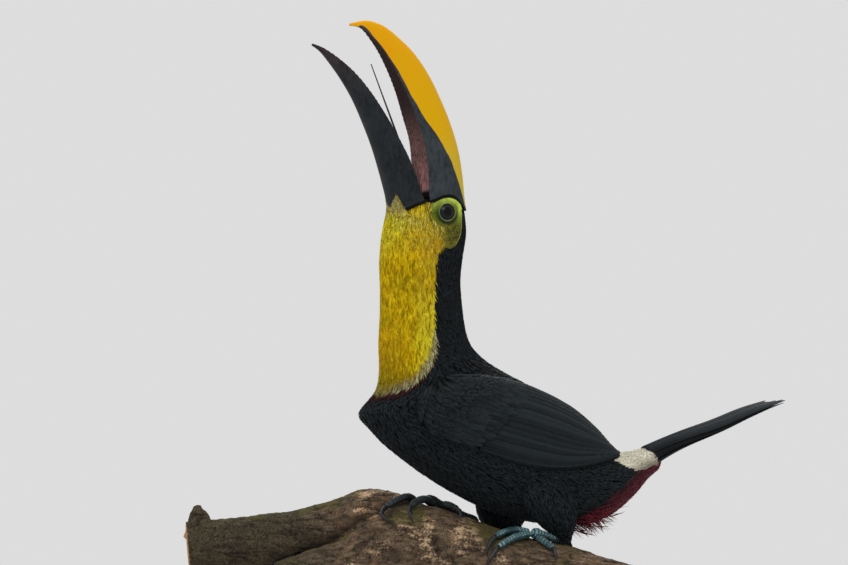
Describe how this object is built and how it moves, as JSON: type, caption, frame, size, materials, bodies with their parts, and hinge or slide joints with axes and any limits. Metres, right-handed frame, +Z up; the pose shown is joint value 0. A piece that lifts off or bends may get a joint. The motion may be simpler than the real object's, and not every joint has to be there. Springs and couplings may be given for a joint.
{
  "type": "yellow-throated toucan on a perch",
  "caption": "Life-size still model of a large toucan with its neck stretched and open bill raised, gripping a cut forked branch on a flat display stand.",
  "frame": {"origin": "middle of the stand base's flat underside, on the floor", "axes": "+Z up; the bird faces -Y with its left side at +X, and its middle plane is X = 0; the perch runs 24 degrees off the bird's long axis"},
  "size_m": [0.27, 0.5284, 0.5925],
  "materials": {
    "yellow_feathers": "soft matte feathers",
    "black_feathers": "velvety matte feathers",
    "cream_feathers": "soft matte feathers",
    "red_feathers": "loose matte feathers",
    "yellow_horn": "satin horn, yellow over a black side panel",
    "black_horn": "satin horn",
    "tongue_skin": "thin horny tongue",
    "eye_gloss": "wet gloss",
    "leg_skin": "scaled blue-green skin",
    "claw_horn": "satin horn",
    "bark": "rough bark with sawn ends",
    "stand_wood": "dark satin wood",
    "stand_steel": "satin grey paint"
  },
  "bodies": {
    "root": {"head": "yellow_feathers", "neck": "yellow_feathers", "trunk": "black_feathers", "rump": "black_feathers", "uppertail_coverts": "cream_feathers", "undertail_coverts": "red_feathers", "wing_left": "black_feathers", "wing_right": "black_feathers", "tail": "black_feathers", "bill_upper": "yellow_horn", "bill_lower": "black_horn", "tongue": "tongue_skin", "eye_left": "eye_gloss", "eye_right": "eye_gloss", "thigh_left": "black_feathers", "thigh_right": "black_feathers", "tarsus_left": "leg_skin", "tarsus_right": "leg_skin", "toe_left_1": "leg_skin", "claw_left_1": "claw_horn", "toe_left_2": "leg_skin", "claw_left_2": "claw_horn", "toe_left_3": "leg_skin", "claw_left_3": "claw_horn", "toe_left_4": "leg_skin", "claw_left_4": "claw_horn", "toe_right_1": "leg_skin", "claw_right_1": "claw_horn", "toe_right_2": "leg_skin", "claw_right_2": "claw_horn", "toe_right_3": "leg_skin", "claw_right_3": "claw_horn", "toe_right_4": "leg_skin", "claw_right_4": "claw_horn", "perch_stem": "bark", "perch_limb": "bark", "perch_stub": "bark", "stand_base": "stand_wood", "stand_rod_1": "stand_steel", "stand_rod_2": "stand_steel"}
  },
  "joints": []
}
